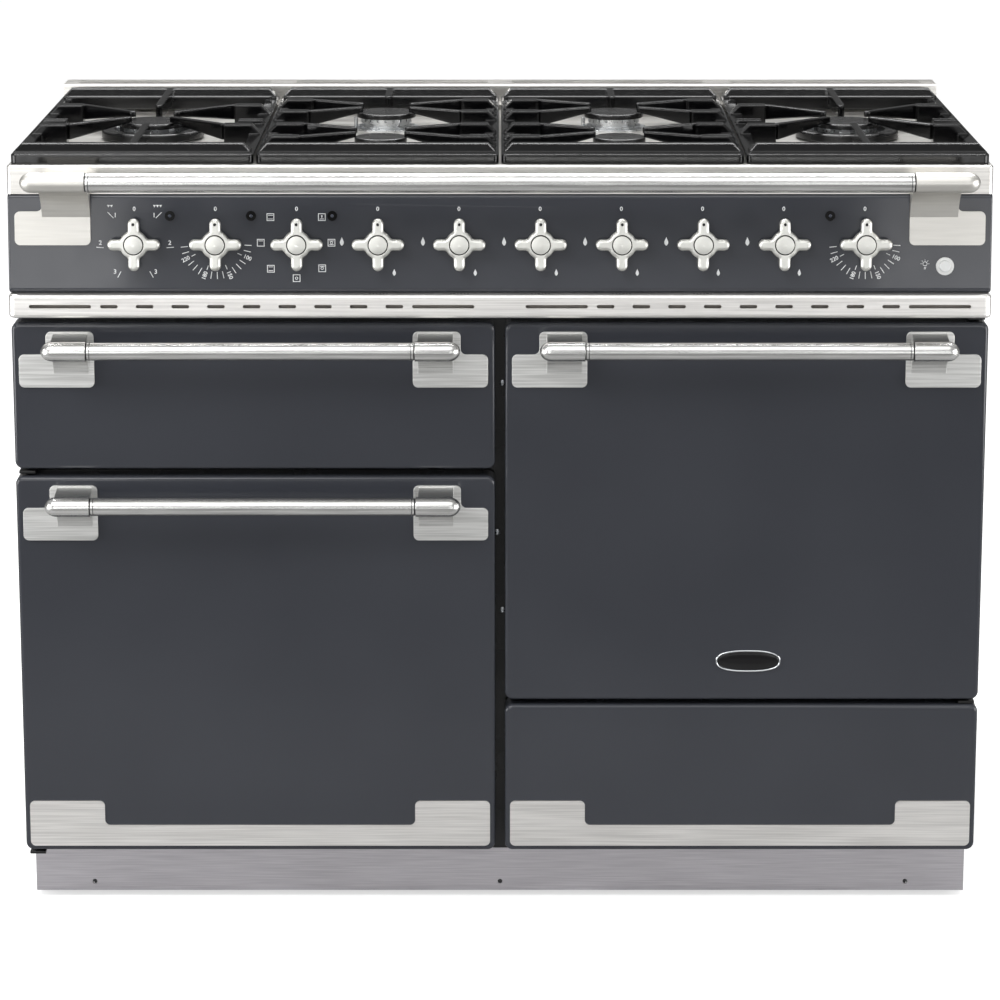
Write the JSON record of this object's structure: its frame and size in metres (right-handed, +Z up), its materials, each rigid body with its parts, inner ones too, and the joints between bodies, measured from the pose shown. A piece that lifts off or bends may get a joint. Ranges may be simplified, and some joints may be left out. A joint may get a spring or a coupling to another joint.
{
  "type": "dual fuel range cooker",
  "caption": "Wide freestanding range cooker with gas hob, cast-iron pan supports, drop-down grill door, side-hung oven doors, storage drawer, cross knobs and towel rail.",
  "frame": {"origin": "floor under the middle of the whole cooker, rail included", "axes": "+X to the cooker's right as seen from the front, -Y out of the front, +Z up"},
  "size_m": [1.092, 0.6762, 0.888],
  "materials": {
    "slate_enamel": "gloss vitreous enamel",
    "black_enamel": "satin black enamel",
    "cavity_enamel": "speckled gloss enamel",
    "stainless": "brushed along the width",
    "polished_stainless": "finely brushed, bright edges",
    "galvanised": "galvanised sheet",
    "nickel": "satin nickel plate",
    "chromed_wire": "bright chromed wire",
    "cast_iron": "satin black enamel on cast iron",
    "burner_alloy": "cast and turned",
    "brass_gas": "machined brass",
    "pipe_alloy": "drawn tube",
    "element_steel": "oxidised sheath",
    "seal_rubber": "silicone and glass braid",
    "black_plastic": "moulded",
    "switch_plastic": "moulded",
    "button_plastic": "moulded"
  },
  "bodies": {
    "chassis": {"control_panel": "slate_enamel", "front_frame": "black_enamel", "left_side_panel": "black_enamel", "right_side_panel": "black_enamel", "burner_caps": "black_enamel", "grill_liner": "cavity_enamel", "left_oven_liner": "cavity_enamel", "right_oven_liner": "cavity_enamel", "grill_pan": "cavity_enamel", "fan_covers": "cavity_enamel", "plinth": "stainless", "hob_plate": "stainless", "hob_rear_trim": "stainless", "vent_strip": "stainless", "front_rail": "polished_stainless", "rail_brackets": "polished_stainless", "base_tray": "galvanised", "back_panel": "galvanised", "centre_partition": "galvanised", "drawer_runners": "galvanised", "door_hinges": "galvanised", "levelling_feet": "galvanised", "oven_racks": "chromed_wire", "left_outer_pan_support": "cast_iron", "left_inner_pan_support": "cast_iron", "right_inner_pan_support": "cast_iron", "right_outer_pan_support": "cast_iron", "burner_heads": "burner_alloy", "burner_cups": "burner_alloy", "gas_taps": "brass_gas", "burner_feed_pipes": "pipe_alloy", "gas_manifold": "pipe_alloy", "heating_elements": "element_steel", "fan_motors": "element_steel", "oven_seals": "seal_rubber", "neon_lamps": "black_plastic", "control_switches": "switch_plastic"},
    "grill_door_body": {"grill_door": "slate_enamel", "grill_door_handle": "polished_stainless"},
    "left_door_body": {"left_oven_door": "slate_enamel", "left_door_handle": "polished_stainless", "left_door_trim": "polished_stainless"},
    "right_door_body": {"right_oven_door": "slate_enamel", "right_door_handle": "polished_stainless"},
    "drawer_body": {"drawer_front": "slate_enamel", "drawer_box": "galvanised", "drawer_trim": "polished_stainless"},
    "light_button_body": {"light_button": "button_plastic"},
    "left_fan_body": {"left_oven_fan": "burner_alloy"},
    "right_fan_body": {"right_oven_fan": "burner_alloy"},
    "knob_grill_body": {"knob_grill": "nickel"},
    "knob_left_oven_heat_body": {"knob_left_oven_heat": "nickel"},
    "knob_left_oven_function_body": {"knob_left_oven_function": "nickel"},
    "knob_burner_1_body": {"knob_burner_1": "nickel"},
    "knob_burner_2_body": {"knob_burner_2": "nickel"},
    "knob_burner_3_body": {"knob_burner_3": "nickel"},
    "knob_burner_4_body": {"knob_burner_4": "nickel"},
    "knob_burner_5_body": {"knob_burner_5": "nickel"},
    "knob_burner_6_body": {"knob_burner_6": "nickel"},
    "knob_right_oven_heat_body": {"knob_right_oven_heat": "nickel"}
  },
  "joints": [
    {"name": "grill_door_hinge", "type": "hinge", "parent": "chassis", "child": "grill_door_body", "pos_m": [-0.27575, -0.25388, 0.528], "axis": [1, 0, 0], "range_deg": [0, 88]},
    {"name": "left_door_hinge", "type": "hinge", "parent": "chassis", "child": "left_door_body", "pos_m": [-0.538, -0.25388, 0.29], "axis": [0, 0, -1], "range_deg": [0, 105]},
    {"name": "right_door_hinge", "type": "hinge", "parent": "chassis", "child": "right_door_body", "pos_m": [0.538, -0.25388, 0.47], "axis": [0, 0, 1], "range_deg": [0, 105]},
    {"name": "drawer_slide", "type": "slide", "parent": "chassis", "child": "drawer_body", "axis": [0, -1, 0], "range_m": [0, 0.39]},
    {"name": "light_button_press", "type": "slide", "parent": "chassis", "child": "light_button_body", "axis": [0, 0.9974, -0.0725], "range_m": [0, 0.003], "stiffness_N_per_m": 400},
    {"name": "left_fan_spin", "type": "hinge", "parent": "chassis", "child": "left_fan_body", "pos_m": [-0.27575, 0.20012, 0.291], "axis": [0, -1, 0], "continuous": true},
    {"name": "right_fan_spin", "type": "hinge", "parent": "chassis", "child": "right_fan_body", "pos_m": [0.27575, 0.20012, 0.4715], "axis": [0, -1, 0], "continuous": true},
    {"name": "knob_grill_turn", "type": "hinge", "parent": "chassis", "child": "knob_grill_body", "pos_m": [-0.405, -0.26587, 0.779], "axis": [0, -0.9974, 0.0725], "range_deg": [-150, 150]},
    {"name": "knob_left_oven_heat_turn", "type": "hinge", "parent": "chassis", "child": "knob_left_oven_heat_body", "pos_m": [-0.315, -0.26587, 0.779], "axis": [0, -0.9974, 0.0725], "range_deg": [-270, 0]},
    {"name": "knob_left_oven_function_turn", "type": "hinge", "parent": "chassis", "child": "knob_left_oven_function_body", "pos_m": [-0.225, -0.26587, 0.779], "axis": [0, -0.9974, 0.0725], "continuous": true},
    {"name": "knob_burner_1_turn", "type": "hinge", "parent": "chassis", "child": "knob_burner_1_body", "pos_m": [-0.135, -0.26587, 0.779], "axis": [0, -0.9974, 0.0725], "range_deg": [0, 215]},
    {"name": "knob_burner_2_turn", "type": "hinge", "parent": "chassis", "child": "knob_burner_2_body", "pos_m": [-0.045, -0.26587, 0.779], "axis": [0, -0.9974, 0.0725], "range_deg": [0, 215]},
    {"name": "knob_burner_3_turn", "type": "hinge", "parent": "chassis", "child": "knob_burner_3_body", "pos_m": [0.045, -0.26587, 0.779], "axis": [0, -0.9974, 0.0725], "range_deg": [0, 215]},
    {"name": "knob_burner_4_turn", "type": "hinge", "parent": "chassis", "child": "knob_burner_4_body", "pos_m": [0.135, -0.26587, 0.779], "axis": [0, -0.9974, 0.0725], "range_deg": [0, 215]},
    {"name": "knob_burner_5_turn", "type": "hinge", "parent": "chassis", "child": "knob_burner_5_body", "pos_m": [0.225, -0.26587, 0.779], "axis": [0, -0.9974, 0.0725], "range_deg": [0, 215]},
    {"name": "knob_burner_6_turn", "type": "hinge", "parent": "chassis", "child": "knob_burner_6_body", "pos_m": [0.315, -0.26587, 0.779], "axis": [0, -0.9974, 0.0725], "range_deg": [0, 215]},
    {"name": "knob_right_oven_heat_turn", "type": "hinge", "parent": "chassis", "child": "knob_right_oven_heat_body", "pos_m": [0.405, -0.26587, 0.779], "axis": [0, -0.9974, 0.0725], "range_deg": [-270, 0]}
  ]
}
